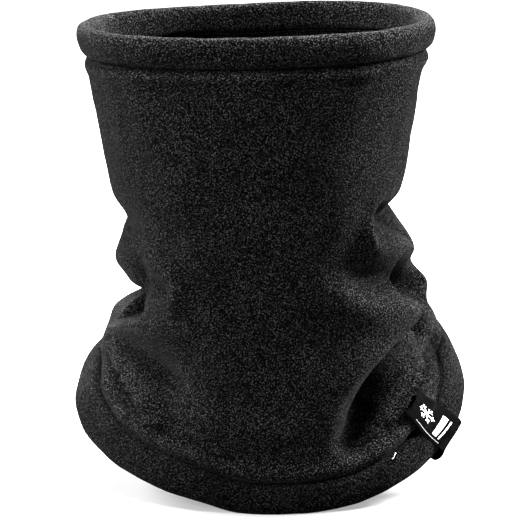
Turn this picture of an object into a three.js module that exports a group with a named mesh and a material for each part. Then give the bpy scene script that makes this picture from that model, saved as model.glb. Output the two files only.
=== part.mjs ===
// A fleece neck gaiter: one soft tube with a folded binding band sewn round each end, standing
// in the shape it takes when worn, with its sides crumpled and its hem lifted over the shoulders.
//
// Frame: millimetres, +Z up, +X to the wearer's left as seen from the front, the front facing -Y.
// The origin is on the floor, at the middle of the object's box.
// Azimuths are in degrees from the front (0), growing towards +X (90) and the back (180).
import * as THREE from "three";

// ---- Driving dimensions, mm ----
const RIM_HEIGHT = 235.5; // middle of the top edge above the floor
const RIM_TILT = 2; // the +X side of the top edge stands this much higher
const FLEECE = 2.6; // thickness of one layer
const GAP = 0.35; // clearance between sewn layers
const TOP_BAND = 15; // visible height of the top binding
const BOTTOM_BAND = 15; // visible height of the bottom binding
const TUCK = 10; // how deep the tube's cut edge sits inside each binding
const SINK = 2.05; // how far the stitching pinches the tube in, under the bindings
const TUCKED = 2; // thickness of the tube's pinched edge
const GROOVE_RUN = 4; // height over which the tube comes back out of the pinch
const BAND_PROUD = 0.8; // how far a binding stands proud of the tube
const SLOT = { outer: SINK - GAP, inner: SINK + TUCKED + GAP, deep: TUCK + 1.2 }; // room for the tube's edge
const SLOT_ROWS = [1, 5.5]; // depths at which the tube's edge and the slot have matching rows
const THREAD = 0.7; // width of a row of sewing thread
const SEAM_WIDTH = 7; // width of the tube's overlocked closing seam
const SEAM_GAP = 0.5; // clearance behind it, for the tube's flat facets
const SEAM_DEPTH = 2.4; // how far that seam stands into the tube
const LABEL = { width: 24, height: 27, inner: 13 };
const LABEL_AT = { deg: 64.5, slope: 30 }; // middle of the label on the hem, and the hem's slope there
const TOP_SEAM_DEG = 12; // where the top binding's two ends are joined
const BACK_SEAM_DEG = 180; // where the tube and the bottom binding are joined
const THREAD_END_DEG = 44; // a loose end of the label's white thread, on the hem
const THREAD_END = 4; // its length

// ---- Resolution ----
const AROUND = 64;
const TUBE_ROWS = 24;
const ROW_EASE = 0.62; // rows start this much closer than even, in the crumpled lower half

// ---- Silhouette: rings from hem (0) to rim (1): centre x, y, half width, half depth ----
const RINGS = [
  { at: 0.0, x: 0.3, y: -0.8, a: 101.5, b: 79.3 },
  { at: 0.1, x: 2.5, y: -0.4, a: 88.0, b: 77.5 },
  { at: 0.24, x: 2.5, y: 0.2, a: 74.5, b: 75.5 },
  { at: 0.42, x: -4.0, y: 0.8, a: 71.0, b: 74.0 },
  { at: 0.6, x: -6.0, y: 1.7, a: 75.8, b: 75.5 },
  { at: 1.0, x: -6.5, y: 3.2, a: 90.0, b: 78.0 },
];

// ---- Hem edge: height at each azimuth. It rests on the floor at front and back, and is lifted
// over the shoulders, more on the +X side ----
const HEM = [
  { at: -180, z: 0 }, { at: -166, z: 0 }, { at: -115, z: 58 }, { at: -90, z: 43 }, { at: -66, z: 26 },
  { at: -40, z: 13.5 }, { at: -20, z: 5 }, { at: -6, z: 0 }, { at: 9, z: 0 }, { at: 24, z: 3 },
  { at: 40, z: 10 }, { at: 60, z: 20.5 }, { at: 76, z: 34.5 }, { at: 90, z: 47 }, { at: 114, z: 66 },
  { at: 166, z: 0 }, { at: 180, z: 0 },
];

// ---- Folds: a path of [azimuth, height] points, depth (out is positive) and half width ----
const FOLDS = {
  left_waist_tuck: { path: [[-125, 142], [-92, 135], [-60, 130]], depth: -4.5, width: 9 },
  left_upper_roll: { path: [[-130, 117], [-92, 113], [-66, 110]], depth: 4, width: 9 },
  left_pocket: { path: [[-122, 96], [-88, 92], [-56, 95]], depth: -7, width: 8 },
  left_dimple: { path: [[-52, 108], [-43, 112]], depth: -3, width: 9 },
  left_lower_roll: { path: [[-124, 86], [-88, 76], [-52, 82]], depth: 4, width: 9 },
  left_drape_edge: { path: [[-72, 72], [-60, 66], [-48, 52], [-43, 36]], depth: 3, width: 7 },
  left_wing_hollow: { path: [[-84, 66], [-66, 54], [-54, 38]], depth: -4, width: 8 },
  right_waist_tuck: { path: [[125, 144], [92, 138], [62, 136]], depth: -6, width: 9 },
  right_upper_roll: { path: [[122, 125], [92, 121], [66, 124]], depth: 5, width: 9 },
  right_pocket: { path: [[118, 110], [88, 107], [62, 107]], depth: -5, width: 8 },
  right_front_valley: { path: [[62, 110], [48, 114], [34, 120]], depth: -3, width: 8 },
  right_lower_roll: { path: [[118, 96], [84, 91], [54, 98], [30, 109]], depth: 4.5, width: 9 },
  right_drape_valley: { path: [[72, 80], [52, 70], [40, 54], [31, 30]], depth: -4, width: 8 },
  right_drape_edge: { path: [[80, 78], [68, 66], [56, 51], [49, 36]], depth: 3, width: 7 },
  right_wing_hollow: { path: [[92, 70], [76, 58], [62, 42]], depth: -4, width: 8 },
  back_left_valley: { path: [[-158, 122], [-144, 112], [-128, 104]], depth: -3, width: 10 },
  back_right_valley: { path: [[156, 126], [144, 118], [126, 112]], depth: -3, width: 10 },
};
const ARC_MM = 1.36; // length of one degree round the tube
const HEM_ARC_MM = 1.6; // length of one degree round the hem, near the label

const rad = THREE.MathUtils.degToRad;
const wrapped = (deg) => ((((deg + 180) % 360) + 360) % 360) - 180;

// A value read off a smooth curve through a table, which never overshoots the table's own values.
function through(table, key, x) {
  const secant = (i) => (table[i + 1][key] - table[i][key]) / (table[i + 1].at - table[i].at);
  const slope = (i) => {
    if (i === 0) return secant(0);
    if (i === table.length - 1) return secant(i - 1);
    const [before, after] = [secant(i - 1), secant(i)];
    return before * after > 0 ? (2 * before * after) / (before + after) : 0;
  };
  let k = 0;
  while (k < table.length - 2 && x > table[k + 1].at) k += 1;
  const [p, q] = [table[k], table[k + 1]];
  const span = q.at - p.at;
  const u = (x - p.at) / span;
  const [u2, u3] = [u * u, u * u * u];
  const ends = (2 * u3 - 3 * u2 + 1) * p[key] + (3 * u2 - 2 * u3) * q[key];
  return ends + span * ((u3 - 2 * u2 + u) * slope(k) + (u3 - u2) * slope(k + 1));
}

const hemHeight = (deg) => through(HEM, "z", wrapped(deg));
const ringValue = (key, share) => through(RINGS, key, share);
const rimHeight = (deg) => RIM_HEIGHT + RIM_TILT * Math.sin(rad(deg));

// How far along and how far from a fold's path a point is, in mm over the surface.
function nearestOnPath(path, deg, height) {
  let best = { distance: Infinity, share: 0 };
  for (let i = 0; i + 1 < path.length; i += 1) {
    const [a, b] = [path[i], path[i + 1]];
    const [du, dv] = [(b[0] - a[0]) * ARC_MM, b[1] - a[1]];
    const [pu, pv] = [wrapped(deg - a[0]) * ARC_MM, height - a[1]];
    const t = THREE.MathUtils.clamp((pu * du + pv * dv) / (du * du + dv * dv), 0, 1);
    const distance = Math.hypot(pu - t * du, pv - t * dv);
    if (distance < best.distance) best = { distance, share: (i + t) / (path.length - 1) };
  }
  return best;
}

function foldDepth(deg, height) {
  let sum = 0;
  for (const { path, depth, width } of Object.values(FOLDS)) {
    const { distance, share } = nearestOnPath(path, deg, height);
    sum += depth * (0.3 + 0.7 * Math.sin(Math.PI * share)) * Math.exp(-((distance / width) ** 2));
  }
  return sum;
}

// The outer face of the gaiter at an azimuth and a height above its hem.
function face(deg, rise) {
  const bottom = hemHeight(deg);
  const height = bottom + rise;
  const t = rise / (rimHeight(deg) - bottom);
  const out = foldDepth(deg, height);
  const [s, c] = [Math.sin(rad(deg)), Math.cos(rad(deg))];
  const x = ringValue("x", t) + (ringValue("a", t) + out) * s;
  const y = ringValue("y", t) - (ringValue("b", t) + out) * c;
  return new THREE.Vector3(x, y, height);
}

// The same, moved off the face along its normal.
function offFace(deg, rise, offset) {
  const across = face(deg + 1, rise).sub(face(deg - 1, rise));
  const up = face(deg, rise + 1).sub(face(deg, rise - 1));
  const point = face(deg, rise).addScaledVector(across.cross(up).normalize(), offset);
  point.z = Math.max(point.z, 0);
  return point;
}

const height = (deg) => rimHeight(deg) - hemHeight(deg);

// A closed solid from columns of points, each one closed outline: its first half one side of the
// layer, its second half the other side backwards. A ring's last column joins its first; the two
// ends of anything else are capped by joining the halves point to point.
function sweptSolid(columns, ring) {
  const rows = columns[0].length;
  const index = [];
  const at = (i, j) => (i % columns.length) * rows + (j % rows);
  for (let i = 0; i < columns.length - (ring ? 0 : 1); i += 1)
    for (let j = 0; j < rows; j += 1) {
      index.push(at(i, j), at(i + 1, j), at(i + 1, j + 1));
      index.push(at(i, j), at(i + 1, j + 1), at(i, j + 1));
    }
  const last = columns.length - 1;
  for (let j = 0; !ring && j < rows / 2 - 1; j += 1) {
    const k = rows - 1 - j;
    index.push(at(0, j), at(0, j + 1), at(0, k - 1), at(0, j), at(0, k - 1), at(0, k));
    index.push(at(last, j), at(last, k - 1), at(last, j + 1), at(last, j), at(last, k), at(last, k - 1));
  }
  const geometry = new THREE.BufferGeometry().setFromPoints(columns.flat());
  geometry.setIndex(index);
  geometry.computeVertexNormals();
  return geometry;
}

// A piece that goes all the way round, from its outline at each azimuth.
function ringSolid(outlineAt) {
  const degs = Array.from({ length: AROUND }, (_, i) => (360 * i) / AROUND);
  const columns = degs.map((deg) => outlineAt(deg).map(([rise, offset]) => offFace(deg, rise, offset)));
  return sweptSolid(columns, true);
}

// A narrow upright piece centred on one azimuth.
function stripSolid(centre, width, steps, outlineAt) {
  const turn = width / ARC_MM;
  const degs = Array.from({ length: steps + 1 }, (_, i) => centre + turn * (i / steps - 0.5));
  const columns = degs.map((deg) => outlineAt(deg).map(([rise, offset]) => offFace(deg, rise, offset)));
  return sweptSolid(columns, false);
}

// Heights of the tube's rows between the two bindings, above the hem.
function bodyRises(deg) {
  const low = BOTTOM_BAND + GROOVE_RUN;
  const high = height(deg) - TOP_BAND - GROOVE_RUN;
  const share = (u) => u * (ROW_EASE + (1 - ROW_EASE) * u * u);
  return Array.from({ length: TUBE_ROWS }, (_, i) => low + (high - low) * share(i / (TUBE_ROWS - 1)));
}

// The fleece tube: one layer, pinched where it goes into each binding.
function tubeOutline(deg) {
  const rises = bodyRises(deg);
  const [low, high] = [BOTTOM_BAND, height(deg) - TOP_BAND];
  const tucks = [-1, ...SLOT_ROWS, TUCK];
  const layer = (offset, bodyOffset) => [
    ...tucks.map((h) => [low - h, offset]).reverse(),
    ...rises.map((r) => [r, bodyOffset]),
    ...tucks.map((h) => [high + h, offset]),
  ];
  return [...layer(-SINK, 0), ...layer(-SINK - TUCKED, -FLEECE).reverse()];
}

// Section of a binding, from its sewn edge (0) to its fold: outer arm, fold, inner arm, inner slot.
const BAND_OUTLINE = [
  [0.4, -1.2], [1.2, 0.2], [4, BAND_PROUD], [10, BAND_PROUD], [13.6, 0], [15.2, -1.6],
  [15.2, -4.4], [13.6, -6.1], [10, -6.8], [4, -6.8], [0.4, -5.4],
  ...[...SLOT_ROWS, TUCK, SLOT.deep].map((h) => [h, -SLOT.inner]),
  ...[SLOT.deep, TUCK, ...SLOT_ROWS.toReversed()].map((h) => [h, -SLOT.outer]),
];

const topBandOutline = (deg) => BAND_OUTLINE.map(([h, o]) => [height(deg) - TOP_BAND + h, o]);
const bottomBandOutline = () => BAND_OUTLINE.map(([h, o]) => [BOTTOM_BAND - h, o]).reverse();

// A row of thread lying in the groove beside a binding.
function threadOutline(rise) {
  return [[rise, -SINK + 1.3], [rise + THREAD, -SINK + 1.3], [rise + THREAD, -SINK + 0.6], [rise, -SINK + 0.6]];
}

// A short row of thread across the top binding, where its two ends are sewn together.
function topSeamOutline(deg) {
  const low = height(deg) - TOP_BAND;
  return [[2, 1.8], [9, 1.8], [12, 1.5], [12, 0.95], [9, 1.15], [2, 1.15]].map(([h, o]) => [low + h, o]);
}

const bottomSeamOutline = () => [[3, 1.8], [12, 1.8], [12, 1.15], [3, 1.15]];

// The tube's closing seam: its overlocked allowance, standing up inside the tube.
function backSeamOutline(deg) {
  const rises = bodyRises(deg);
  const [skin, crest] = [-FLEECE - SEAM_GAP, -FLEECE - SEAM_GAP - SEAM_DEPTH];
  return [...rises.map((r) => [r, skin]), ...rises.reverse().map((r) => [r, crest])];
}

// The label is one strip of woven satin, folded round the hem: outer leaf, fold, inner leaf.
// Its outline is given as height up the label and distance off the face.
const LABEL_OUTLINE = [
  [LABEL.height, 2.7], [14, 1.5], [1.5, 1.4], [-0.5, 0.8], [-1.4, -0.5], [-1.4, -6], [-0.6, -7.8],
  [1.5, -8.4], [LABEL.inner, -8.4], [LABEL.inner, -8.9], [1.5, -8.9], [-1, -8.2], [-1.9, -6.2],
  [-1.9, -0.3], [-0.8, 1.2], [1.5, 1.9], [14, 2], [LABEL.height, 3.2],
];

// A point of the label: along its width, up its height, off the face. Its lower edge follows the
// hem, and its height runs square to the hem's slope.
function labelPoint(along, up, offset) {
  const slope = rad(LABEL_AT.slope);
  const foot = LABEL_AT.deg + (along * Math.cos(slope)) / HEM_ARC_MM;
  const deg = foot - (up * Math.sin(slope)) / HEM_ARC_MM;
  return offFace(deg, hemHeight(foot) + up * Math.cos(slope) - hemHeight(deg), offset);
}

function labelStrip(width, steps, outline) {
  const alongs = Array.from({ length: steps + 1 }, (_, i) => width * (i / steps - 0.5));
  const columns = alongs.map((along) => outline.map(([up, offset]) => labelPoint(along, up, offset)));
  return sweptSolid(columns, false);
}

const LABEL_STITCH_OUTLINE = [[12.8, 3.1], [13.4, 3.1], [13.4, 2.5], [12.8, 2.5]];
const THREAD_END_OUTLINE = [[11.5, 1.7], [12, 1.7], [12, 1.2], [11.5, 1.2]];

// ---- Materials ----
const fleece = () => new THREE.MeshStandardMaterial({ color: 0x121212, roughness: 0.95, metalness: 0 });
const thread = () => new THREE.MeshStandardMaterial({ color: 0x0d0d0d, roughness: 0.7, metalness: 0 });
const whiteThread = () => new THREE.MeshStandardMaterial({ color: 0xdcdcdc, roughness: 0.7, metalness: 0 });
const satin = () => new THREE.MeshStandardMaterial({ color: 0x0a0a0a, roughness: 0.45, metalness: 0 });

// ---- Pieces ----
const gaiter = new THREE.Group();

function addPiece(name, geometry, material) {
  const mesh = new THREE.Mesh(geometry, material);
  mesh.name = name;
  gaiter.add(mesh);
}

addPiece("fleece_tube", ringSolid(tubeOutline), fleece());
addPiece("top_band", ringSolid(topBandOutline), fleece());
addPiece("bottom_band", ringSolid(bottomBandOutline), fleece());
const topThread = (deg) => threadOutline(height(deg) - TOP_BAND - 0.2 - THREAD);
addPiece("top_stitch_row", ringSolid(topThread), thread());
addPiece("bottom_stitch_row", ringSolid(() => threadOutline(BOTTOM_BAND + 0.2)), thread());
addPiece("top_band_seam", stripSolid(TOP_SEAM_DEG, THREAD, 1, topSeamOutline), thread());
addPiece("bottom_band_seam", stripSolid(BACK_SEAM_DEG, THREAD, 1, bottomSeamOutline), thread());
addPiece("back_seam_overlock", stripSolid(BACK_SEAM_DEG, SEAM_WIDTH, 2, backSeamOutline), thread());
addPiece("woven_label", labelStrip(LABEL.width, 8, LABEL_OUTLINE), satin());
addPiece("label_stitch_row", labelStrip(LABEL.width - 2, 8, LABEL_STITCH_OUTLINE), thread());
addPiece("label_thread_end", stripSolid(THREAD_END_DEG, THREAD_END, 1, () => THREAD_END_OUTLINE), whiteThread());

export default gaiter;
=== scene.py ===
# A black fleece neck gaiter: fleece tube, folded bindings, stitch rows, seams and woven label,
# each built in code in the shape the cloth takes when worn, and shown on a white studio floor.
import math

import bmesh
import bpy
import numpy as np
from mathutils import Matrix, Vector


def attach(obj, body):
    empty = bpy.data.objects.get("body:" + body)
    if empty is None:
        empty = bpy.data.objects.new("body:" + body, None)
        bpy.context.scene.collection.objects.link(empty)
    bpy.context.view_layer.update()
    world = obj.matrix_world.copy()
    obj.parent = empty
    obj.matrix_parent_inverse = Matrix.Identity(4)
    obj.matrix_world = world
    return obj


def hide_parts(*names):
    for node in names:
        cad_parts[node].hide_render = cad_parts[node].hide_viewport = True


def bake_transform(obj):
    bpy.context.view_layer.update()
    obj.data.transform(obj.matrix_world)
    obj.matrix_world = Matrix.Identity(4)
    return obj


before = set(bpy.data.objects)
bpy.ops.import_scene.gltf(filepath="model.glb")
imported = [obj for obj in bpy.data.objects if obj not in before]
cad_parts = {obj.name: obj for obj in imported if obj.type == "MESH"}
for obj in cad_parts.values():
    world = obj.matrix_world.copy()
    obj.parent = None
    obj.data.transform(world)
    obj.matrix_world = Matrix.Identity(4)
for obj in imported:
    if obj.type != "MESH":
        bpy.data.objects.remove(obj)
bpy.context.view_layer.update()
scene = bpy.context.scene

MM = 0.001

# ---- The camera ----
CAMERA_DISTANCE = 1.2
CAMERA_ELEVATION = 12.5
CAMERA_TARGET = Vector((-0.0044, 0.004, 0.1106))
CAMERA_LENS = 159.8
CAMERA_SENSOR = 36


def add_camera():
    camera = bpy.data.objects.new("camera", bpy.data.cameras.new("camera"))
    elevation = math.radians(CAMERA_ELEVATION)
    back = Vector((0, -math.cos(elevation), math.sin(elevation)))
    camera.location = CAMERA_TARGET + CAMERA_DISTANCE * back
    camera.rotation_euler = back.to_track_quat("Z", "Y").to_euler()
    camera.data.lens = CAMERA_LENS
    camera.data.sensor_width = CAMERA_SENSOR
    camera.data.clip_end = 20
    scene.collection.objects.link(camera)
    scene.camera = camera


# ---- The gaiter's shape, in mm and degrees: azimuth from the front (0) to +X (90) ----
RIM_HEIGHT = 235.5
RIM_TILT = 2.0
RIM_LIFT = 1.6  # the rim stands this much higher again about RIM_LIFT_DEG
RIM_LIFT_DEG = 142
RIM_LIFT_HALF = 34
TOP_BAND = 15.0
BOTTOM_BAND = 15.0
FLEECE = 2.6
SINK = 3.0  # how far stitching pinches the tube in
SQUARENESS = 0.035  # how far the rim's four quarters stand out of an ellipse, as a share
ARC_MM = 1.36  # length of a degree round the tube
HEM_ARC_MM = 1.6  # the same at the hem

# Share of the height, ring centre x and y, half width, half depth, from hem to rim.
RINGS = np.array([
    (0.00, 0.3, -0.8, 103.0, 79.3),
    (0.10, 2.3, -0.4, 88.5, 77.5),
    (0.24, 2.5, 0.2, 74.5, 75.5),
    (0.42, -4.0, 0.8, 71.0, 74.0),
    (0.60, -6.0, 1.7, 75.8, 75.5),
    (1.00, -6.5, 3.2, 90.0, 78.0),
])

# Azimuth and height of the hem's edge.
HEM = np.array([
    (-180, 0), (-166, 0), (-115, 54), (-90, 42), (-66, 26), (-40, 13.5), (-20, 5), (-6, 0),
    (9, 0), (24, 2.6), (40, 10.6), (60, 23.2), (76, 37), (90, 47), (114, 61), (166, 0), (180, 0),
])


def through(xs, ys, x):
    """Values of a smooth curve through a table, which never overshoots the table's own values."""
    secant = np.diff(ys) / np.diff(xs)
    before, after = secant[:-1], secant[1:]
    total = np.where(before + after == 0, 1, before + after)
    inner = np.where(before * after > 0, 2 * before * after / total, 0)
    slope = np.concatenate([secant[:1], inner, secant[-1:]])
    k = np.clip(np.searchsorted(xs, x, side="left") - 1, 0, len(xs) - 2)
    span = xs[k + 1] - xs[k]
    u = (x - xs[k]) / span
    u2, u3 = u * u, u * u * u
    ends = (2 * u3 - 3 * u2 + 1) * ys[k] + (3 * u2 - 2 * u3) * ys[k + 1]
    return ends + span * ((u3 - 2 * u2 + u) * slope[k] + (u3 - u2) * slope[k + 1])


def spread(*values):
    """The values as arrays of numbers with one shape."""
    return np.broadcast_arrays(*(np.asarray(value, float) for value in values))


def unit(vectors):
    return vectors / np.linalg.norm(vectors, axis=-1, keepdims=True)


def hump(distance, half):
    """A round rise of 1 at no distance, which falls to 1/e at the half width."""
    return np.exp(-((distance / half) ** 2))


def above_floor(points):
    """The points, with any that lie under the floor lifted onto it."""
    points[..., 2] = np.maximum(points[..., 2], 0)
    return points


def wrapped(deg):
    """An azimuth between -180 and 180."""
    return (deg + 180) % 360 - 180


def hem_height(deg):
    return through(HEM[:, 0], HEM[:, 1], wrapped(deg))


def rim_height(deg):
    lift = RIM_LIFT * hump(wrapped(deg - RIM_LIFT_DEG), RIM_LIFT_HALF)
    return RIM_HEIGHT + RIM_TILT * np.sin(np.radians(deg)) + lift


def total_height(deg):
    return rim_height(deg) - hem_height(deg)


FOLD_REACH = 3  # a fold moves nothing beyond this many half widths
CREST_FALL = 1.7  # how fast a sharp fold falls away on both sides
CREST_ROUND = 0.2  # how round its crest still is, in half widths


class Fold:
    """A crease or roll along a path of (azimuth, height) points. depth: out is positive.
    left, right: half widths on the two sides of the path, seen from outside.
    tip: its half width beyond its first and last points. sharp: a crest, not a round top.
    ends: what is left of it at the path's two ends, one number or a pair."""

    def __init__(self, path, depth, left, right=None, tip=None, sharp=False, ends=0.3):
        self.path = self.rounded(np.array(path, float))
        self.depth, self.left, self.right = depth, left, right or left
        self.tip, self.sharp = tip or (self.left + self.right) / 2, sharp
        self.ends = ends if isinstance(ends, tuple) else (ends, ends)

    @staticmethod
    def rounded(points, steps=6):
        """The path as a smooth curve through its points."""
        if len(points) < 3:
            return points
        at = np.linspace(0, len(points) - 1, (len(points) - 1) * steps + 1)
        padded = np.vstack([2 * points[0] - points[1], points, 2 * points[-1] - points[-2]])
        k = np.minimum(at.astype(int), len(points) - 2)
        u = (at - k)[:, None]
        p0, p1, p2, p3 = (padded[k + i] for i in range(4))
        curve = 2 * p1 + (p2 - p0) * u + (2 * p0 - 5 * p1 + 4 * p2 - p3) * u**2
        return 0.5 * (curve + (3 * p1 - p0 - 3 * p2 + p3) * u**3)

    def near(self, deg, height):
        """Distance in mm across (positive on the path's left) and beyond its ends; share along."""
        best = np.full(deg.shape, np.inf)
        across, beyond, share = np.zeros(deg.shape), np.zeros(deg.shape), np.zeros(deg.shape)
        count = len(self.path) - 1
        for i in range(count):
            (a_deg, a_z), (b_deg, b_z) = self.path[i], self.path[i + 1]
            du, dv = (b_deg - a_deg) * ARC_MM, b_z - a_z
            length = math.hypot(du, dv)
            pu, pv = wrapped(deg - a_deg) * ARC_MM, height - a_z
            along = (pu * du + pv * dv) / length
            held = np.clip(along, 0, length)
            distance = np.hypot(pu - held * du / length, pv - held * dv / length)
            off = (du * pv - dv * pu) / length
            capped = (along < 0) & (i == 0) | (along > length) & (i == count - 1)
            closer = distance < best
            best = np.where(closer, distance, best)
            signed = np.where(capped, off, np.where(off < 0, -distance, distance))
            across = np.where(closer, signed, across)
            beyond = np.where(closer, np.where(capped, along - held, 0.0), beyond)
            share = np.where(closer, (i + held / length) / count, share)
        return across, beyond, share

    def add_to(self, deg, height, out):
        """Adds its outward movement of each point, in mm."""
        reach = FOLD_REACH * max(self.left, self.right)
        middle = (self.path[:, 0].min() + self.path[:, 0].max()) / 2
        span = np.ptp(self.path[:, 0]) / 2 + reach / ARC_MM
        near = np.abs(wrapped(deg - middle)) < span
        near &= height > self.path[:, 1].min() - reach
        near &= height < self.path[:, 1].max() + reach
        if not near.any():
            return
        across, beyond, share = self.near(deg[near], height[near])
        least = self.ends[0] + (self.ends[1] - self.ends[0]) * share
        strength = least + (1 - least) * np.sin(np.pi * share)
        q = np.hypot(across / np.where(across > 0, self.left, self.right), beyond / self.tip)
        if self.sharp:
            profile = np.exp(-CREST_FALL * (np.sqrt(q * q + CREST_ROUND**2) - CREST_ROUND))
        else:
            profile = np.exp(-q * q)
        out[near] += self.depth * strength * profile


FOLDS = [
    # left side, from the top down: waist, upper roll, notch, pocket, its rim behind, its lip
    Fold([(-48, 141), (-66, 137), (-92, 137), (-125, 142)], -5.5, 8, 9),
    Fold([(-60, 119), (-78, 116), (-92, 112), (-130, 113)], 5, 7, 9),
    Fold([(-66, 98), (-78, 95.5), (-92, 93), (-122, 94)], -7.5, 4.5, 4.5, ends=0.7),
    Fold([(-60, 96.5), (-69, 93.5), (-79, 90), (-93, 85.5)], -21, 5, 7, tip=1.4, ends=(1, 0.6)),
    Fold([(-99, 84), (-108, 82), (-118, 80.5), (-128, 79)], 5.5, 7),
    Fold([(-57, 90.5), (-67, 87), (-79, 82.5), (-91, 77)], 4.5, 5, 1.8, sharp=True, ends=0.5),
    # dimple above the pocket's front end, with a ridge round it
    Fold([(-56, 113), (-57, 106)], -5, 7, ends=0.8),
    Fold([(-48, 122), (-40, 119), (-34, 113), (-36, 104), (-43, 98)], 3.5, 5, 6),
    # lower roll, drape with a crest, hollow behind it, valley in front of it
    Fold([(-32, 91), (-48, 88.5), (-62, 85), (-76, 80), (-92, 74), (-120, 78)], 6, 9, 6),
    Fold([(-41, 41), (-44, 45), (-47, 49), (-50, 53), (-56, 57), (-63, 61.5), (-70, 65.5),
          (-80, 71)], 12, 1.6, 2.4, sharp=True, ends=(0.9, 0.6)),
    Fold([(-52, 40), (-60, 46), (-68, 51), (-76, 56), (-86, 61)], -5, 5),
    Fold([(-34, 58), (-44, 62), (-56, 69)], -5, 9, 7),
    # right side, from the top down: waist, ridge before it, upper roll, hollow on top of it,
    # pocket, its rim behind, dip before it
    Fold([(46, 145), (62, 141), (78, 140), (92, 141), (125, 144)], -8, 7),
    Fold([(49, 149), (46, 142), (46, 134), (50, 127)], 4, 5, 5, ends=0.5),
    Fold([(48, 129), (60, 126), (80, 121), (95, 119), (122, 120)], 7.5, 11, 8, tip=14),
    Fold([(54, 146), (63, 141), (73, 134), (82, 127)], -4.5, 3.5, ends=0.6),
    Fold([(66.5, 104), (75, 102.5), (86, 99.5), (95, 96)], -22, 8, 8, tip=1.3, ends=(1, 0.3)),
    Fold([(88, 104), (98, 100), (108, 96.5), (120, 93)], 5.5, 7),
    Fold([(39, 117), (46, 114.5), (54, 111.5), (62, 109)], -4, 5, 5.5, ends=(0.3, 0.9)),
    # lower roll, ridge above a deep valley, that valley, drape with a crest, hollow behind it
    Fold([(28, 110), (36, 104), (45, 99), (58, 96), (76, 94), (92, 92), (118, 94)], 7, 7, 14),
    Fold([(20, 46), (25, 57), (31, 65), (38, 72), (46, 77), (55, 81), (66, 84), (76, 85)],
         4.5, 12, 4.5),
    Fold([(28, 34), (36, 46), (44, 56), (53, 66), (63, 72.5), (74, 76.5), (82, 79)],
         -22, 7, 7, ends=(0.4, 1)),
    Fold([(42, 43), (44, 47), (48, 51), (53, 56), (59, 61.5), (66, 67), (74, 72), (82, 76)],
         14, 1.8, 2.2, sharp=True, ends=(0.9, 0.8)),
    Fold([(60, 46), (68, 53), (78, 60), (90, 66)], -12, 5, ends=0.7),
    # front: two soft ridges
    Fold([(-24, 80), (-14, 70), (-4, 60)], 2, 8),
    Fold([(-33, 48), (-16, 43), (4, 42), (20, 45)], 2.2, 7),
    # back: two shallow dips
    Fold([(-158, 122), (-144, 112), (-128, 104)], -3, 10),
    Fold([(126, 112), (144, 118), (156, 126)], -3, 10),
]

# The stiff label keeps the cloth under it free of folds: its centre (azimuth, height), and half
# the width and height of the calm patch in mm.
CALM_AT = (63, 34)
CALM_HALF = (15, 13)
RELIEF_REACH = 7.0  # a point's surroundings, in mm, for the pile's painted shade and highlight

# Gentle unevenness all over: seeded plane waves, in mm.
WAVE_SEED = 7
WAVE_COUNT = 36
WAVE_RANGE = (9, 60)  # shortest and longest
WAVE_SHARE = 0.0028  # height of each wave, as a share of its length
RNG = np.random.default_rng(WAVE_SEED)
WAVE_LENGTHS = RNG.uniform(*WAVE_RANGE, WAVE_COUNT)
WAVE_WAYS = RNG.normal(size=(WAVE_COUNT, 3))
WAVE_WAYS *= (2 * np.pi / WAVE_LENGTHS / np.linalg.norm(WAVE_WAYS, axis=1))[:, None]
WAVE_PHASES = RNG.uniform(0, 2 * np.pi, WAVE_COUNT)


def ripple(points):
    """How far the waves move each point out, in mm."""
    waves = np.sin(points @ WAVE_WAYS.T + WAVE_PHASES)
    return (waves * WAVE_LENGTHS * WAVE_SHARE).sum(-1)


def fold_out(deg, height):
    """How far the folds move the face out, in mm."""
    out = np.zeros(deg.shape)
    for fold in FOLDS:
        fold.add_to(deg, height, out)
    across = wrapped(deg - CALM_AT[0]) * ARC_MM / CALM_HALF[0]
    up = (height - CALM_AT[1]) / CALM_HALF[1]
    return out * (1 - np.exp(-(across**4 + up**4)))


def relief(deg, rise):
    """How far the face stands out of what is round it, in mm, for the painted highlight on crests
    and painted shade in hollows.
    """
    deg, rise = spread(deg, rise)
    height = hem_height(deg) + rise
    turn = RELIEF_REACH / ARC_MM
    round_it = fold_out(deg - turn, height) + fold_out(deg + turn, height)
    round_it += fold_out(deg, height - RELIEF_REACH) + fold_out(deg, height + RELIEF_REACH)
    return fold_out(deg, height) - round_it / 4


def face(deg, rise):
    """The gaiter's outer face at an azimuth and a height above its hem."""
    deg, rise = spread(deg, rise)
    bottom = hem_height(deg)
    height = bottom + rise
    share = rise / (rim_height(deg) - bottom)
    out = fold_out(deg, height)
    x, y, a, b = (through(RINGS[:, 0], RINGS[:, k], share) for k in range(1, 5))
    sine, cosine = np.sin(np.radians(deg)), np.cos(np.radians(deg))
    square = 1 + SQUARENESS * np.clip(share, 0, 1) * (2 * sine * cosine) ** 2
    plain = np.stack([x + a * square * sine, y - b * square * cosine, height], -1)
    out = out + ripple(plain)
    return plain + np.stack([out * sine, -out * cosine, 0 * out], -1)


PROBE_DEG = 0.5  # how far round and up the face's slope is probed, in degrees and mm
PROBE_RISE = 0.6


def off_face(deg, rise, offset):
    """The same, moved off the face along its normal, but not under the floor."""
    deg, rise, offset = spread(deg, rise, offset)
    across = face(deg + PROBE_DEG, rise) - face(deg - PROBE_DEG, rise)
    up = face(deg, rise + PROBE_RISE) - face(deg, rise - PROBE_RISE)
    return above_floor(face(deg, rise) + unit(np.cross(across, up)) * offset[..., None])


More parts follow.
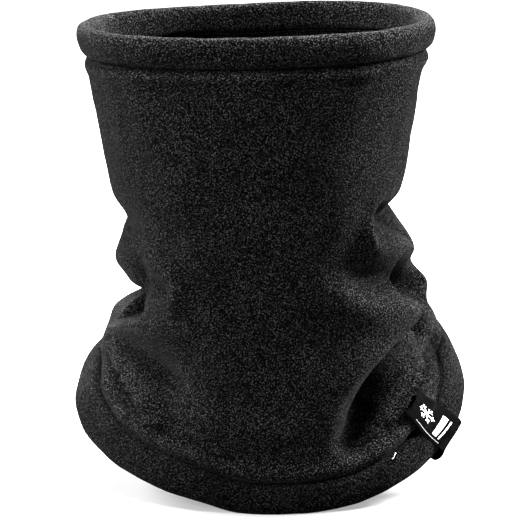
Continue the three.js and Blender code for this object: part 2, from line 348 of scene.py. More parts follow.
# ---- Meshes ----
def add_mesh(name, points, faces, material, uvs=None, painted_light=None):
    """points in mm; uvs: one pair for each point; the last argument: the pile's relief at each
    point in mm, which sets its painted shade and highlight.
    """
    mesh = bpy.data.meshes.new(name)
    mesh.from_pydata((np.asarray(points).reshape(-1, 3) * MM).tolist(), [], faces)
    mesh.polygons.foreach_set("use_smooth", [True] * len(mesh.polygons))
    if uvs is not None:
        corner = np.empty(len(mesh.loops), dtype=np.int64)
        mesh.loops.foreach_get("vertex_index", corner)
        layer = mesh.uv_layers.new(name="UVMap")
        layer.data.foreach_set("uv", np.asarray(uvs).reshape(-1, 2)[corner].ravel())
    mesh.materials.append(material)
    shape = bmesh.new()
    shape.from_mesh(mesh)
    bmesh.ops.recalc_face_normals(shape, faces=shape.faces)
    shape.to_mesh(mesh)
    shape.free()
    # the relief sets the fleece's painted shade and highlight
    if painted_light is not None:
        mesh.attributes.new("relief", "FLOAT", "POINT").data.foreach_set("value", painted_light.ravel())
    piece = bpy.data.objects.new(name, mesh)
    scene.collection.objects.link(piece)
    return piece


def grid_faces(columns, rows, ring=True, loop=True):
    """Quads of a grid of columns, closed round if ring, with rows closed round if loop."""
    i = np.arange(columns if ring else columns - 1)[:, None]
    j = np.arange(rows if loop else rows - 1)[None, :]
    right, above = (i + 1) % columns, (j + 1) % rows
    corners = (i * rows + j, right * rows + j, right * rows + above, i * rows + above)
    return np.stack(np.broadcast_arrays(*corners), -1).reshape(-1, 4).tolist()


def spaced(start, end, step):
    """Azimuths about a step apart, from the start up to the end, which is left out."""
    return np.linspace(start, end, round((end - start) / step) + 1)[:-1]


# Azimuths of the columns: closest on the crumpled sides.
COLUMNS = np.concatenate([
    spaced(-180, -125, 1.4), spaced(-125, -95, 1.0), spaced(-95, -30, 0.62), spaced(-30, 24, 0.9),
    spaced(24, 95, 0.62), spaced(95, 125, 1.0), spaced(125, 180, 1.4),
])
OUTER_ROWS = 172
INNER_ROWS = 48

TUCK = 10.0  # height of the tube's edge inside a binding
TUCKED = 2.0  # its thickness there
GROOVE_RUN = 5.0  # the tube comes out of a sewn groove over this height
GROOVE_START = 0.6  # and begins this far inside the binding
GROOVE_ROUND = 2.2  # how soon it is nearly out
PUFF = 1.2  # the pile stands up beside a sewn groove
PUFF_AT = 5
PUFF_HALF = 3

# Painted shade (-) in the sewn grooves and painted highlight (+) beside them, as relief in mm.
GROOVE_PAINTED_SHADE = -9
PUFF_PAINTED_HIGHLIGHT = 3.5
TOP_GROOVE_SHARE = 0.35  # the share of that painted shade and highlight at the top binding


def eased(values, count):
    """A smooth run of this many points through a short table of points."""
    values = np.array(values, float)
    at = np.linspace(0, len(values) - 1, count)
    keys = np.arange(len(values), dtype=float)
    return np.stack([through(keys, values[:, k], at) for k in (0, 1)], -1)


def layer_grid(rises, offsets):
    """A layer at these heights above the hem, one row of heights for each column."""
    skin = face(COLUMNS[:, None], rises)
    around = np.roll(skin, -1, 0) - np.roll(skin, 1, 0)
    up = np.gradient(skin, axis=1)
    return above_floor(skin + unit(np.cross(around, up)) * offsets[..., None])


def groove_terms(rises, tall):
    """How far the tube is out of the nearer sewn groove and how much it puffs, as shares."""
    from_edge = np.minimum(rises - BOTTOM_BAND, tall - TOP_BAND - rises)
    come_out = np.clip((from_edge + GROOVE_START) / GROOVE_RUN, 0, 1)
    come_out = 1 - (1 - come_out) ** GROOVE_ROUND
    return come_out, hump(from_edge - PUFF_AT, PUFF_HALF)


def tube_painted_light(rises, tall):
    """The relief of the tube's outside, with its grooves' painted shade and its puffs' painted
    highlight.
    """
    come_out, puff = groove_terms(rises, tall)
    share = np.where(rises - BOTTOM_BAND < tall - TOP_BAND - rises, 1, TOP_GROOVE_SHARE)
    groove = share * (PUFF_PAINTED_HIGHLIGHT * puff + GROOVE_PAINTED_SHADE * (1 - come_out) ** 2)
    return relief(COLUMNS[:, None], rises) + groove


def build_tube(material):
    """One layer of fleece, pinched where it goes into each binding."""
    tall = total_height(COLUMNS)[:, None]
    low, high = BOTTOM_BAND - TUCK, tall - TOP_BAND + TUCK

    def side(count, sunk, proud):
        rises = low + (high - low) * np.linspace(0, 1, count)[None, :]
        come_out, puff = groove_terms(rises, tall)
        return rises, layer_grid(rises, sunk + (proud - sunk) * come_out + PUFF * puff)

    outer_rises, outer = side(OUTER_ROWS, -SINK, 0)
    _, inner = side(INNER_ROWS, -SINK - TUCKED, -FLEECE)
    points = np.concatenate([outer, inner[:, ::-1]], 1)
    # painted shade and highlight on the tube's outside; none on its inside
    painted_light = np.concatenate([tube_painted_light(outer_rises, tall), np.zeros(inner.shape[:2])], 1)
    return add_mesh("tube_cloth", points, grid_faces(*points.shape[:2]), material, painted_light=painted_light)


# Section of a binding as (height, offset) in mm: up its outside from its sewn edge to its fold,
# and down its inside.
BAND_SECTION = [
    (0.9, -2.5), (0.3, -1.9), (0.7, -0.7), (2.0, 0.5), (4.4, 1.3), (8.6, 1.4), (12.3, 0.6),
    (14.4, -0.7), (15.2, -2.6), (15.2, -4.2), (14.3, -5.9), (12.2, -7.0), (9, -7.4), (5, -7.4),
    (2.4, -7.1), (0.9, -6.2), (0.4, -5.2), (0.9, -4.5),
]
BAND_ROWS = 52
# The slot in it that holds the tube's edge.
SLOT_SECTION = [(5.5, -4.4), (10.6, -4.4), (11.2, -3.9), (11.2, -2.2), (10.6, -1.7), (5.5, -1.7)]

# A binding's two ends meet in a groove, with a low ridge on one side of it.
TOP_SEAM_DEG = 12.0
BACK_SEAM_DEG = 180.0
JOIN_DEPTH = 1.1
TOP_JOIN_HALF = 0.9
BOTTOM_JOIN_HALF = 1.2
JOIN_RIDGE = 0.7
JOIN_RIDGE_AT = 5
JOIN_RIDGE_HALF = 4
JOIN_FROM = -4  # both start at this offset, on top of the fold, and grow over JOIN_RUN
JOIN_RUN = 3
JOIN_LOW = 0.6  # and stop at this height, above the sewn edge

# Painted shade and highlight of the bindings' pile, as relief in mm: shade along the sewn edge and
# at the join, highlight along the top fold, shade over all of the bottom binding.
SEWN_EDGE_PAINTED_SHADE = -6
SEWN_EDGE_HALF = 1.2
SEWN_EDGE_OUTSIDE = -3  # offset beyond which an edge is the outside's
JOIN_PAINTED_SHADE = -5
JOIN_SHADE_HALF = 0.9
TOP_FOLD_PAINTED_HIGHLIGHT = 4.5
TOP_FOLD_AT = 14
TOP_FOLD_HALF = 2.6
BOTTOM_BAND_PAINTED_SHADE = -3


def build_band(name, top, material):
    """A strip of fleece folded over the rim or the hem."""
    section = np.concatenate([eased(BAND_SECTION, BAND_ROWS), np.array(SLOT_SECTION)])
    heights, offsets = section[:, 0], section[:, 1]
    deg = COLUMNS[:, None]
    if top:
        rises = total_height(deg) - TOP_BAND + heights
        join_deg, join_half = TOP_SEAM_DEG, TOP_JOIN_HALF
    else:
        rises = BOTTOM_BAND - heights
        join_deg, join_half = BACK_SEAM_DEG, BOTTOM_JOIN_HALF
    from_join = wrapped(deg - join_deg) * ARC_MM
    outside = np.clip((offsets - JOIN_FROM) / JOIN_RUN, 0, 1) * (heights > JOIN_LOW)
    lump = JOIN_RIDGE * hump(from_join - JOIN_RIDGE_AT, JOIN_RIDGE_HALF)
    lump = lump - JOIN_DEPTH * hump(from_join, join_half)
    points = off_face(deg, rises, offsets + lump * outside)
    faces = grid_faces(*points.shape[:2])
    if not top:
        faces = [quad[::-1] for quad in faces]
    # painted shade along the outside's sewn edge and at the join, painted highlight along the top
    # fold, painted shade over all of the bottom binding
    painted_light = SEWN_EDGE_PAINTED_SHADE * hump(heights, SEWN_EDGE_HALF) * (offsets > SEWN_EDGE_OUTSIDE)
    painted_light = painted_light + JOIN_PAINTED_SHADE * hump(from_join, JOIN_SHADE_HALF) * outside
    painted_light += TOP_FOLD_PAINTED_HIGHLIGHT * hump(heights - TOP_FOLD_AT, TOP_FOLD_HALF) if top else BOTTOM_BAND_PAINTED_SHADE
    return add_mesh(name, points, faces, material, painted_light=painted_light)


# ---- Threads ----
STITCH_PITCH = 3.4
STITCH_LENGTH = 2.9
STITCH_ASIDE = 0.55  # from the binding's edge
# Offset of a stitch's middle off the face, and how far its ends go down, outside and inside.
OUTER_STITCH = (-SINK + 0.35, 0.3)
INNER_STITCH = (-SINK - TUCKED - 0.15, -0.3)
THREAD_RADIUS = 0.3
THIN_THREAD_RADIUS = 0.22
THREAD_TIP = 0.35  # share of the radius left at a thread's ends


def thread_run(points, radius, sides):
    """Points and faces of a thread with tapered ends along a line of points."""
    tangent = unit(np.gradient(points, axis=0))
    outward = unit(points * np.array([1, 1, 0]))
    across = unit(np.cross(tangent, outward))
    outward = np.cross(across, tangent)
    turn = (2 * np.pi * np.arange(sides) / sides)[None, :, None]
    thick = np.full(len(points), radius)
    thick[[0, -1]] *= THREAD_TIP
    ring = across[:, None] * np.cos(turn) + outward[:, None] * np.sin(turn)
    skin = points[:, None] + ring * thick[:, None, None]
    faces = grid_faces(len(points), sides, ring=False)
    last = (len(points) - 1) * sides
    faces.append(list(range(sides))[::-1])
    faces.append([last + k for k in range(sides)])
    return skin.reshape(-1, 3), faces


def joined(parts):
    """Several pairs of points and faces as one pair."""
    points, faces, start = [], [], 0
    for part_points, part_faces in parts:
        points.append(part_points)
        faces += [[start + k for k in corners] for corners in part_faces]
        start += len(part_points)
    return np.concatenate(points), faces


def join_threads(name, lines, radius, material, sides=6):
    points, faces = joined(thread_run(line, radius, sides) for line in lines)
    return add_mesh(name, points, faces, material)


def bow(share):
    """How far down a stitch is along it: 0 over most of it, and 1 at both its ends."""
    return (2 * share - 1) ** 4


def build_hem_stitches(name, top, material):
    """The row of stitches beside a binding, on the outside and the inside of the tube."""
    arc = ARC_MM if top else HEM_ARC_MM
    count = round(360 * arc / STITCH_PITCH)
    share = np.linspace(0, 1, 6)
    lines = []
    for middle in 360 * np.arange(count) / count:
        deg = middle + (share - 0.5) * STITCH_LENGTH / arc
        rise = total_height(deg) - TOP_BAND - STITCH_ASIDE if top else BOTTOM_BAND + STITCH_ASIDE
        for offset, dip in (OUTER_STITCH, INNER_STITCH):
            lines.append(off_face(deg, rise, offset - dip * bow(share)))
    return join_threads(name, lines, THREAD_RADIUS, material)


JOIN_STITCH_PITCH = 2.4
JOIN_STITCH_LENGTH = 2.0
JOIN_STITCH_OFF = 0.25  # how far its middle is off the face, and its ends go down from there
JOIN_STITCH_DIP = 0.4


def build_short_seam(name, deg, low, high, material):
    """A column of small stitches across a binding, where its two ends are joined. low, high:
    the lowest stitch's foot, and a height that no foot reaches."""
    share = np.linspace(0, 1, 5)
    offset = JOIN_STITCH_OFF - JOIN_STITCH_DIP * bow(share)
    feet = np.arange(low, high, JOIN_STITCH_PITCH)
    lines = [off_face(deg, foot + JOIN_STITCH_LENGTH * share, offset) for foot in feet]
    return join_threads(name, lines, THIN_THREAD_RADIUS, material)


# ---- Label, its picks and its thread ----
LABEL_WIDTH = 24.0
LABEL_THICK = 0.5
LABEL_DEG = 64.2  # azimuth of its middle at the hem
LABEL_SLOPE = math.radians(32)  # its lean to the front as it goes up

# The label's outer skin as (up, offset): down its front, round the hem, and up its inner leaf.
LABEL_FRONT = [(27, 3.2), (20.5, 2.5), (14, 2.0), (7.5, 1.95), (1.5, 1.9)]
LABEL_TURN = [(-0.8, 1.2), (-1.9, -0.3), (-2.2, -3.2), (-1.9, -6.2), (-1, -8.2), (1.5, -8.9)]
LABEL_LEAF = [(7, -8.9), (13, -8.9)]
LABEL_ROWS = 90
LABEL_COLUMNS = 40
LABEL_EDGE = 0.5  # its two long edges are pressed down over this width
LABEL_EDGE_DROP = 0.12
LABEL_MIDDLE = 14  # height of the middle of its front
LABEL_DEGREE = 4  # of the surface fitted through the cloth under it


def under_label(along, up):
    """The cloth under the label: along its width, up its height from the hem."""
    foot = LABEL_DEG + along * math.cos(LABEL_SLOPE) / HEM_ARC_MM
    deg = foot - up * math.sin(LABEL_SLOPE) / HEM_ARC_MM
    return face(deg, hem_height(foot) + up * math.cos(LABEL_SLOPE) - hem_height(deg))


def label_terms(along, up):
    """Powers of the two distances, up to cubes, whose product's degree is at most LABEL_DEGREE."""
    a, u = along / (LABEL_WIDTH / 2), up / LABEL_MIDDLE - 1
    powers = [(i, j) for i in range(4) for j in range(4) if i + j <= LABEL_DEGREE]
    return np.stack([a**i * u**j for i, j in powers], -1)


def fitted_label():
    """The label is stiffer than fleece: it lies on a smooth surface through what is under it."""
    reach = LABEL_WIDTH / 2 + 1
    alongs, ups = np.linspace(-reach, reach, 30), np.linspace(-2, 28, 34)
    along, up = np.meshgrid(alongs, ups, indexing="ij")
    cloth = under_label(along, up).reshape(-1, 3)
    return np.linalg.lstsq(label_terms(along.ravel(), up.ravel()), cloth, rcond=None)[0]


LABEL_FIT = fitted_label()


def label_point(along, up, offset):
    """A point of the label: along its width, up its height, off the cloth."""
    along, up, offset = spread(along, up, offset)

    def at(aside, above):
        return label_terms(along + aside, up + above) @ LABEL_FIT

    normal = unit(np.cross(at(0.1, 0) - at(-0.1, 0), at(0, 0.1) - at(0, -0.1)))
    return at(0, 0) + normal * offset[..., None]


def build_label(material):
    """One strip of woven satin, folded round the hem and sewn through it."""
    skin = eased(LABEL_FRONT + LABEL_TURN + LABEL_LEAF, LABEL_ROWS)
    run = np.gradient(skin, axis=0)
    back = skin - unit(np.stack([run[:, 1], -run[:, 0]], -1)) * LABEL_THICK
    section = np.concatenate([skin, back[::-1]])
    alongs = np.linspace(-LABEL_WIDTH / 2, LABEL_WIDTH / 2, LABEL_COLUMNS)
    pressed = 1 - np.clip((LABEL_WIDTH / 2 - np.abs(alongs)) / LABEL_EDGE, 0, 1)[:, None]
    offsets = section[:, 1] - LABEL_EDGE_DROP * pressed
    points = label_point(alongs[:, None], section[:, 0], offsets)
    columns, rows = points.shape[:2]
    faces = grid_faces(columns, rows, ring=False)
    half = rows // 2
    # its two long edges, between the outer skin and the back
    for column, flip in ((0, False), (columns - 1, True)):
        start = column * rows
        for j in range(half - 1):
            quad = [start + j, start + j + 1, start + rows - 2 - j, start + rows - 1 - j]
            faces.append(quad[::-1] if flip else quad)
    steps = np.linalg.norm(np.diff(section, axis=0), axis=1)
    length = np.concatenate([[0], np.cumsum(steps)])
    uvs = np.stack(np.broadcast_arrays(alongs[:, None], length[None, :]), -1)
    return add_mesh("label_cloth", points, faces, material, uvs)


def label_lift(up):
    """Height of the label's front off the face."""
    ups, lifts = zip(*LABEL_FRONT[::-1])
    return np.interp(up, ups, lifts)


PATCH_STEP = 0.35
PATCH_TAPER = 0.25  # a patch comes up over this length at both ends
# Section of a patch: across it, as shares of its width, and up, as shares of its lift.
PATCH_ACROSS = np.array([-0.5, -0.44, 0, 0.44, 0.5])
PATCH_HIGH = np.array([-0.1, 0.7, 1.0, 0.7, -0.1])


def patch(shape, lift):
    """A raised strip of satin stitch on the label, between two ends (along, up, width)."""
    (a0, u0, w0), (a1, u1, w1) = shape
    way = np.array([a1 - a0, u1 - u0])
    length = np.linalg.norm(way)
    way = unit(way)
    side = np.array([-way[1], way[0]])
    count = max(3, int(length / PATCH_STEP))
    share = np.linspace(0, 1, count)[:, None]
    middle = np.array([a0, u0]) + way * length * share
    width = w0 + (w1 - w0) * share
    flat = middle[:, None] + side * (PATCH_ACROSS * width)[..., None]
    risen = np.clip(np.minimum(share, 1 - share) * length / PATCH_TAPER, 0.2, 1)
    offset = label_lift(flat[..., 1]) + PATCH_HIGH * lift * risen
    points = label_point(flat[..., 0], flat[..., 1], offset)
    return points, grid_faces(count, PATCH_ACROSS.size, ring=False, loop=False), flat


def join_patches(name, shapes, material, lift):
    patches = [patch(shape, lift) for shape in shapes]
    points, faces = joined((skin.reshape(-1, 3), quads) for skin, quads, _ in patches)
    uvs = np.concatenate([flat.reshape(-1, 2) for *_, flat in patches])
    return add_mesh(name, points, faces, material, uvs)


# A generic six-armed snow crystal above two plain bars, as (along, up, width) ends.
CRYSTAL_AT = np.array([-0.5, 15.8])
CRYSTAL_ARM = 4.9
CRYSTAL_FORK = 0.6  # share of an arm where its two twigs leave it
CRYSTAL_TWIG = 1.7
CRYSTAL_BEND = math.radians(55)


def crystal_shapes():
    def way(turn):
        return np.array([math.cos(turn), math.sin(turn)])

    shapes = []
    for k in range(6):
        turn = math.radians(60 * k + 30)
        tip = CRYSTAL_AT + way(turn) * CRYSTAL_ARM
        fork = CRYSTAL_AT + way(turn) * CRYSTAL_ARM * CRYSTAL_FORK
        shapes.append(((*CRYSTAL_AT, 0.7), (*tip, 0.65)))
        for bend in (-CRYSTAL_BEND, CRYSTAL_BEND):
            shapes.append(((*fork, 0.55), (*(fork + CRYSTAL_TWIG * way(turn + bend)), 0.5)))
    return shapes


BAR_SHAPES = [((-7.5, 7.4, 2.6), (6.5, 7.4, 2.6)), ((-7.5, 4.6, 0.7), (6.5, 4.6, 0.7))]
SELVEDGE_SHAPES = [((-9.6, 3.0, 0.45), (-9.6, 20.0, 0.45))]
MOTIF_LIFT = 0.16
SELVEDGE_LIFT = 0.1

LABEL_THREAD_RADIUS = 0.2
LABEL_STITCHES = np.arange(-10.4, 10.5, 2.3)  # their middles, along the label
LABEL_STITCH_UP = 12.9
LABEL_STITCH_LENGTH = 1.7
LABEL_STITCH_OFF = 0.12
LABEL_STITCH_DIP = 0.3
THREAD_END_AT = (39.0, 13.0)  # azimuth, and height above the hem


def build_label_stitches(material):
    """The row of stitches across the label, through the hem."""
    share = np.linspace(0, 1, 6)
    lift = label_lift(LABEL_STITCH_UP) + LABEL_STITCH_OFF - LABEL_STITCH_DIP * bow(share)
    lines = [
        label_point(along + (share - 0.5) * LABEL_STITCH_LENGTH, LABEL_STITCH_UP, lift)
        for along in LABEL_STITCHES
    ]
    return join_threads("label_stitches", lines, LABEL_THREAD_RADIUS, material)


def build_thread_end(material):
    """The cut end of the label's thread, a short loose curl on the hem."""
    share = np.linspace(0, 1, 14)
    deg = THREAD_END_AT[0] + 1.9 * share + 0.3 * np.sin(7 * share)
    rise = THREAD_END_AT[1] + 1.6 * share
    lift = 1.2 + 0.5 * np.sin(math.pi * share)
    curl = [off_face(deg, rise, lift)]
    return join_threads("thread_curl", curl, LABEL_THREAD_RADIUS, material, sides=8)


# ---- The tube's closing seam ----
SEAM_HALF = 3.4
SEAM_DEPTH = 2.2
SEAM_ROUND = 3.2
SEAM_OFF = 0.1  # between the tube's inner face and the seam
SEAM_ROWS = 150
SEAM_COLUMNS = 13
SEAM_CREST = 0.25  # how far its raw edges are off that at least, on their two sides
SEAM_BACK = 0.15
SEAM_PITCH = 2.1  # of its threads
OVERLOCK_LENGTH = 1.9  # the threads over the seam: their slant, and how far they are off
OVERLOCK_OFF = 0.5
EDGE_LENGTH = 2.4  # the threads along both sides: length, depth, and distance in from the side
EDGE_DEPTH = 1.4
EDGE_IN = 0.5


def build_seam(allowance_material, thread_material):
    """The tube's closing seam, inside the back: its two raw edges and the threads round them."""
    tall = float(total_height(np.array(BACK_SEAM_DEG)))
    low, high = BOTTOM_BAND + GROOVE_RUN, tall - TOP_BAND - GROOVE_RUN

    def swell(turn):
        """Depth of the seam across it, from -1 at one side to 1 at the other."""
        return SEAM_DEPTH * (1 - np.abs(turn) ** SEAM_ROUND)

    def wander(rise):
        """How far the seam strays from a straight line, as a sewn one does."""
        return 0.35 * np.sin(rise / 9.0) + 0.2 * np.sin(rise / 3.7)

    def inside(across, rise, depth):
        return off_face(BACK_SEAM_DEG + across / ARC_MM, rise, -FLEECE - SEAM_OFF - depth)

    rises = np.linspace(low, high, SEAM_ROWS)[:, None]
    turn = np.linspace(-1, 1, SEAM_COLUMNS)
    across = np.concatenate([turn, turn[-2:0:-1]]) * SEAM_HALF
    depth = np.concatenate([swell(turn) + SEAM_CREST, np.full(SEAM_COLUMNS - 2, SEAM_BACK)])
    points = inside(across + wander(rises), rises, depth)
    faces = grid_faces(SEAM_ROWS, across.size, ring=False)
    first = list(range(across.size))
    faces += [first[::-1], [(SEAM_ROWS - 1) * across.size + k for k in first]]
    allowance = add_mesh("seam_allowance", points, faces, allowance_material)

    feet = np.arange(low + 1, high - 3, SEAM_PITCH)
    share = np.linspace(0, 1, 9)
    turn = 2 * share - 1
    over, depth = turn * (SEAM_HALF + SEAM_OFF), swell(turn) + OVERLOCK_OFF
    lines = [inside(over + wander(foot), foot + OVERLOCK_LENGTH * share, depth) for foot in feet]
    share = np.linspace(0, 1, 5)
    for edge in (EDGE_IN - SEAM_HALF, SEAM_HALF - EDGE_IN):
        lines += [inside(edge, foot + EDGE_LENGTH * share, EDGE_DEPTH) for foot in feet]
    return allowance, join_threads("seam_threads", lines, THIN_THREAD_RADIUS, thread_material)


# ---- Materials ----
class Nodes:
    """A material and short calls to make its nodes."""

    def __init__(self, name):
        self.material = bpy.data.materials.new(name)
        self.material.use_nodes = True
        self.tree = self.material.node_tree
        self.shader = self.tree.nodes["Principled BSDF"]

    def add(self, kind, inputs=(), **settings):
        """inputs: values or sockets, by the input's name or number."""
        node = self.tree.nodes.new(kind)
        for key, value in settings.items():
            setattr(node, key, value)
        for key, value in dict(inputs).items():
            self.put(node.inputs[key], value)
        return node

    def put(self, socket, value):
        if isinstance(value, bpy.types.NodeSocket):
            self.tree.links.new(value, socket)
        else:
            socket.default_value = value

    def set(self, **values):
        for key, value in values.items():
            self.put(self.shader.inputs[key.replace("_", " ")], value)

    def math(self, operation, *values):
        node = self.add("ShaderNodeMath", enumerate(values), operation=operation)
        return node.outputs[0]

    def ramp(self, value, stops):
        node = self.add("ShaderNodeValToRGB", {"Fac": value})
        elements = node.color_ramp.elements
        while len(elements) < len(stops):
            elements.new(0.5)
        for element, (place, color) in zip(elements, stops):
            element.position = place
            element.color = (*color, 1)
        return node.outputs["Color"]

    def noise(self, coordinates, scale, detail, roughness=0.5, distortion=0.0):
        inputs = {"Vector": coordinates, "Scale": scale, "Detail": detail,
                  "Roughness": roughness, "Distortion": distortion}
        return self.add("ShaderNodeTexNoise", inputs).outputs["Fac"]


def grey(value):
    return (value, value, value)


# The colour sockets of a Mix node by number, because its other sockets share their names.
MIX_FACTOR, MIX_A, MIX_B, MIX_RESULT = 0, 6, 7, 2

# Repeats of the pile's patterns in a metre, its height in metres, and its tones from pit to tip,
# which paint shade in the pits and highlight on the tips.
CLUMPS = 1350
CELLS = 1150
FIBRES = 4200
UNEVENNESS = 28
PILE_HEIGHT = 0.0009
PILE_SHADE_AND_HIGHLIGHT_TONES = [(0.52, 0.0006), (0.66, 0.002), (0.76, 0.007), (0.86, 0.024)]
RELIEF_GAIN = 0.13  # the pile's brightness grows by this power of e for each mm of relief
RELIEF_MOST = 0.42  # and at most by this power


def fleece_material():
    """Anti-pill polar fleece: matted clumps of black pile about a millimetre across, with fine
    fibre; painted shade in its pits and painted highlight on its tips, painted highlight where
    its relief stands out and painted shade where it sinks in."""
    n = Nodes("fleece_pile")
    place = n.add("ShaderNodeTexCoord").outputs["Object"]
    clumps = n.noise(place, CLUMPS, detail=2.0, roughness=0.65, distortion=0.2)
    cells = n.add("ShaderNodeTexVoronoi", {"Vector": place, "Scale": CELLS, "Smoothness": 0.3},
                  feature="SMOOTH_F1").outputs["Distance"]
    fibre = n.noise(place, FIBRES, detail=1.0, roughness=0.6)
    uneven = n.noise(place, UNEVENNESS, detail=3, roughness=0.6)
    pile = n.math("ADD", clumps, n.math("MULTIPLY_ADD", cells, -0.55, 0.3))
    height = n.math("ADD", pile, n.math("MULTIPLY", fibre, 0.22))
    # the pile's tone by its height: painted shade in the pits, painted highlight on the tips
    colour = n.ramp(height, [(stop, grey(value)) for stop, value in PILE_SHADE_AND_HIGHLIGHT_TONES])
    # painted highlight on crests and painted shade in hollows, from the relief
    painted_shade_highlight = n.add("ShaderNodeAttribute", attribute_name="relief").outputs["Fac"]
    power = n.math("MINIMUM", n.math("MULTIPLY", painted_shade_highlight, RELIEF_GAIN), RELIEF_MOST)
    tone = n.ramp(uneven, [(0.35, grey(0.8)), (0.65, grey(1.15))])
    shade = n.math("MULTIPLY", tone, n.math("EXPONENT", power))
    mixed = n.add("ShaderNodeMix", {MIX_FACTOR: 1.0, MIX_A: colour, MIX_B: shade},
                  data_type="RGBA", blend_type="MULTIPLY").outputs[MIX_RESULT]
    bump = n.add("ShaderNodeBump", {"Height": height, "Strength": 1.0, "Distance": PILE_HEIGHT})
    n.set(Base_Color=mixed, Roughness=0.95, Normal=bump.outputs["Normal"])
    n.set(Specular_IOR_Level=0.0)
    n.set(Sheen_Weight=0.02, Sheen_Roughness=0.35, Sheen_Tint=(0.8, 0.8, 0.82, 1))
    return n.material


TWISTS = 620  # of a thread in a metre


def thread_material(name, base, lit, shine):
    """Twisted polyester sewing thread."""
    n = Nodes(name)
    place = n.add("ShaderNodeTexCoord").outputs["Object"]
    twist = {"Vector": place, "Scale": TWISTS, "Distortion": 2.0, "Detail": 1.0}
    ply = n.add("ShaderNodeTexWave", twist, bands_direction="DIAGONAL").outputs["Fac"]
    colour = n.ramp(ply, [(0.1, base), (0.9, lit)])
    bump = n.add("ShaderNodeBump", {"Height": ply, "Strength": 0.8, "Distance": 0.0002})
    n.set(Base_Color=colour, Roughness=0.6, Normal=bump.outputs["Normal"])
    n.set(Specular_IOR_Level=shine)
    return n.material


# Widths of the label's threads in mm, as its UVs are.
WARP = 0.34
WEFT = 0.26
PICK = 0.3
PICK_SHADE = 0.78  # tone between two picks, as a share of their own


def satin_material():
    """The label's black woven satin: fine warp and weft, and a slight unevenness."""
    n = Nodes("label_satin_weave")
    uv = n.add("ShaderNodeTexCoord").outputs["UV"]
    split = n.add("ShaderNodeSeparateXYZ", {"Vector": uv})
    warp = n.math("SINE", n.math("MULTIPLY", split.outputs["X"], 2 * math.pi / WARP))
    weft = n.math("SINE", n.math("MULTIPLY", split.outputs["Y"], 2 * math.pi / WEFT))
    weave = n.math("MULTIPLY", n.math("ADD", warp, weft), 0.25)
    place = n.add("ShaderNodeTexCoord").outputs["Object"]
    uneven = n.noise(place, 300, detail=2)
    height = n.math("ADD", weave, uneven)
    colour = n.ramp(uneven, [(0.3, grey(0.001)), (0.7, grey(0.0022))])
    bump = n.add("ShaderNodeBump", {"Height": height, "Strength": 0.5, "Distance": 0.00012})
    n.set(Base_Color=colour, Roughness=0.6, Normal=bump.outputs["Normal"])
    n.set(Specular_IOR_Level=0.0)
    return n.material


def motif_material(name, value):
    """Woven picks of one pale tone, packed close like satin stitch."""
    n = Nodes(name)
    uv = n.add("ShaderNodeTexCoord").outputs["UV"]
    split = n.add("ShaderNodeSeparateXYZ", {"Vector": uv})
    pick = n.math("SINE", n.math("MULTIPLY", split.outputs["Y"], 2 * math.pi / PICK))
    share = n.math("MULTIPLY_ADD", pick, 0.5, 0.5)
    colour = n.ramp(share, [(0.0, grey(value * PICK_SHADE)), (1.0, grey(value))])
    bump = n.add("ShaderNodeBump", {"Height": pick, "Strength": 0.4, "Distance": 0.0001})
    n.set(Base_Color=colour, Roughness=0.6, Normal=bump.outputs["Normal"], Specular_IOR_Level=0.3)
    return n.material


FLOOR_GLOW = 0.4  # added to the lit grey where the camera sees it, so that it shows white


def floor_material():
    """Paper that takes a faint shadow and shows white."""
    n = Nodes("floor_paper")
    place = n.add("ShaderNodeTexCoord").outputs["Object"]
    tone = n.noise(place, 3, detail=3)
    n.set(Base_Color=n.ramp(tone, [(0.3, grey(0.1)), (0.7, grey(0.108))]), Roughness=0.9)
    seen = n.add("ShaderNodeLightPath").outputs["Is Camera Ray"]
    n.set(Emission_Color=(1, 1, 1, 1), Emission_Strength=n.math("MULTIPLY", seen, FLOOR_GLOW))
    return n.material


# ---- Light and floor ----
# Area lights: name, place, point aimed at, width and height, watts.
LIGHTS = [
    ("key_left", (-1.25, 0.42, 0.8), (0, 0, 0.12), (0.3, 0.5), 118),
    ("fill_left", (-1.1, -0.85, 0.85), (0, 0, 0.12), (0.4, 0.4), 52),
    ("rim_right", (1.21, 0.42, 0.9), (0, 0, 0.12), (0.3, 0.5), 265),
    ("back", (0.0, 1.1, 1.35), (0, 0, 0.2), (0.6, 0.3), 520),
    ("top", (-0.1, -0.4, 1.4), (0, 0, 0.15), (0.35, 0.3), 62),
    ("backdrop", (0, 2.4, 1.5), (0, 2.6, 0), (4.0, 1.6), 300),
]
FLOOR_HALF = 6.0
WORLD_FILL = 0.04  # strength of the white world, except to the camera, which sees it at 1


def add_area(name, place, aim, size, power):
    light = bpy.data.lights.new(name, "AREA")
    light.shape = "RECTANGLE"
    light.size, light.size_y = size
    light.energy = power
    lamp = bpy.data.objects.new(name, light)
    lamp.location = place
    lamp.rotation_euler = (Vector(aim) - Vector(place)).to_track_quat("-Z", "Y").to_euler()
    scene.collection.objects.link(lamp)


def add_world():
    world = bpy.data.worlds.new("studio")
    world.use_nodes = True
    nodes, links = world.node_tree.nodes, world.node_tree.links
    seen, fill = nodes["Background"], nodes.new("ShaderNodeBackground")
    seen.inputs["Color"].default_value = fill.inputs["Color"].default_value = (1, 1, 1, 1)
    seen.inputs["Strength"].default_value = 1.0
    fill.inputs["Strength"].default_value = WORLD_FILL
    mix, rays = nodes.new("ShaderNodeMixShader"), nodes.new("ShaderNodeLightPath")
    links.new(rays.outputs["Is Camera Ray"], mix.inputs[0])
    links.new(fill.outputs[0], mix.inputs[1])
    links.new(seen.outputs[0], mix.inputs[2])
    links.new(mix.outputs[0], nodes["World Output"].inputs["Surface"])
    scene.world = world


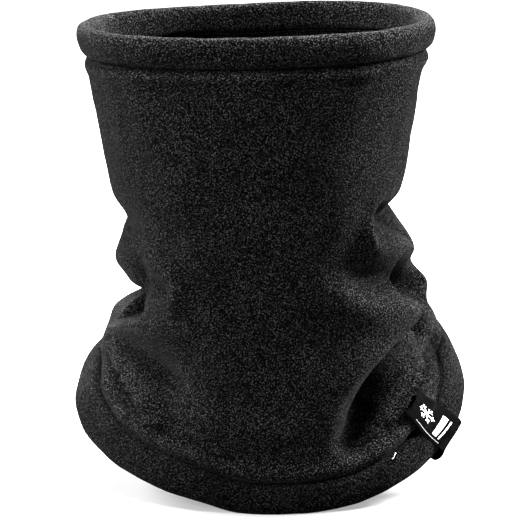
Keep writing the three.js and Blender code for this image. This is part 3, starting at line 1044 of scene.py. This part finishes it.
def add_floor():
    mesh = bpy.data.meshes.new("floor")
    corners = [(x * FLOOR_HALF, y * FLOOR_HALF, 0) for x, y in ((-1, -1), (1, -1), (1, 1), (-1, 1))]
    mesh.from_pydata(corners, [], [(0, 1, 2, 3)])
    mesh.materials.append(floor_material())
    floor = bpy.data.objects.new("floor", mesh)
    scene.collection.objects.link(floor)


# ---- Assembly ----
add_camera()
add_world()
add_floor()
for light in LIGHTS:
    add_area(*light)

fleece = fleece_material()
black_thread = thread_material("black_sewing_thread", grey(0.002), grey(0.005), shine=0.02)
white_thread = thread_material("white_sewing_thread", grey(0.55), grey(0.8), shine=0.3)
satin = satin_material()
white_picks = motif_material("white_woven_picks", 0.85)
grey_picks = motif_material("grey_selvedge_picks", 0.22)


def place(piece, body, slot, *nodes):
    """Parents a piece to its body's empty, or bakes its place into its mesh when it spans both
    bodies, and hides the CAD nodes that it stands for.
    """
    if body == "both":
        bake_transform(piece)
    else:
        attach(piece, body)
    if nodes:
        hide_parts(*nodes)
    return piece


tube = place(build_tube(fleece), "both", "fleece", "fleece_tube")
top_band = place(build_band("top_binding", True, fleece), "upper", "fleece", "top_band")
bottom_band = place(build_band("bottom_binding", False, fleece), "lower", "fleece", "bottom_band")
top_stitches = build_hem_stitches("top_stitches", True, black_thread)
place(top_stitches, "upper", "black_thread", "top_stitch_row")
bottom_stitches = build_hem_stitches("bottom_stitches", False, black_thread)
place(bottom_stitches, "lower", "black_thread", "bottom_stitch_row")
tall = float(total_height(np.array(TOP_SEAM_DEG)))
top_join = build_short_seam(
    "top_binding_join", TOP_SEAM_DEG, tall - TOP_BAND + 1.2, tall - 3.5, black_thread
)
place(top_join, "upper", "black_thread", "top_band_seam")
bottom_join = build_short_seam(
    "bottom_binding_join", BACK_SEAM_DEG, 1.5, BOTTOM_BAND - 2.5, black_thread
)
place(bottom_join, "lower", "black_thread", "bottom_band_seam")
allowance, seam_threads = build_seam(fleece, black_thread)
place(allowance, "both", "fleece", "back_seam_overlock")
place(seam_threads, "both", "black_thread")
label = place(build_label(satin), "lower", "label_satin", "woven_label")
motif = join_patches("label_motif", crystal_shapes() + BAR_SHAPES, white_picks, MOTIF_LIFT)
place(motif, "lower", "white_thread")
selvedge = join_patches("label_selvedge", SELVEDGE_SHAPES, grey_picks, SELVEDGE_LIFT)
place(selvedge, "lower", "label_satin")
place(build_label_stitches(black_thread), "lower", "black_thread", "label_stitch_row")
place(build_thread_end(white_thread), "lower", "white_thread", "label_thread_end")

scene.view_settings.view_transform = "Standard"
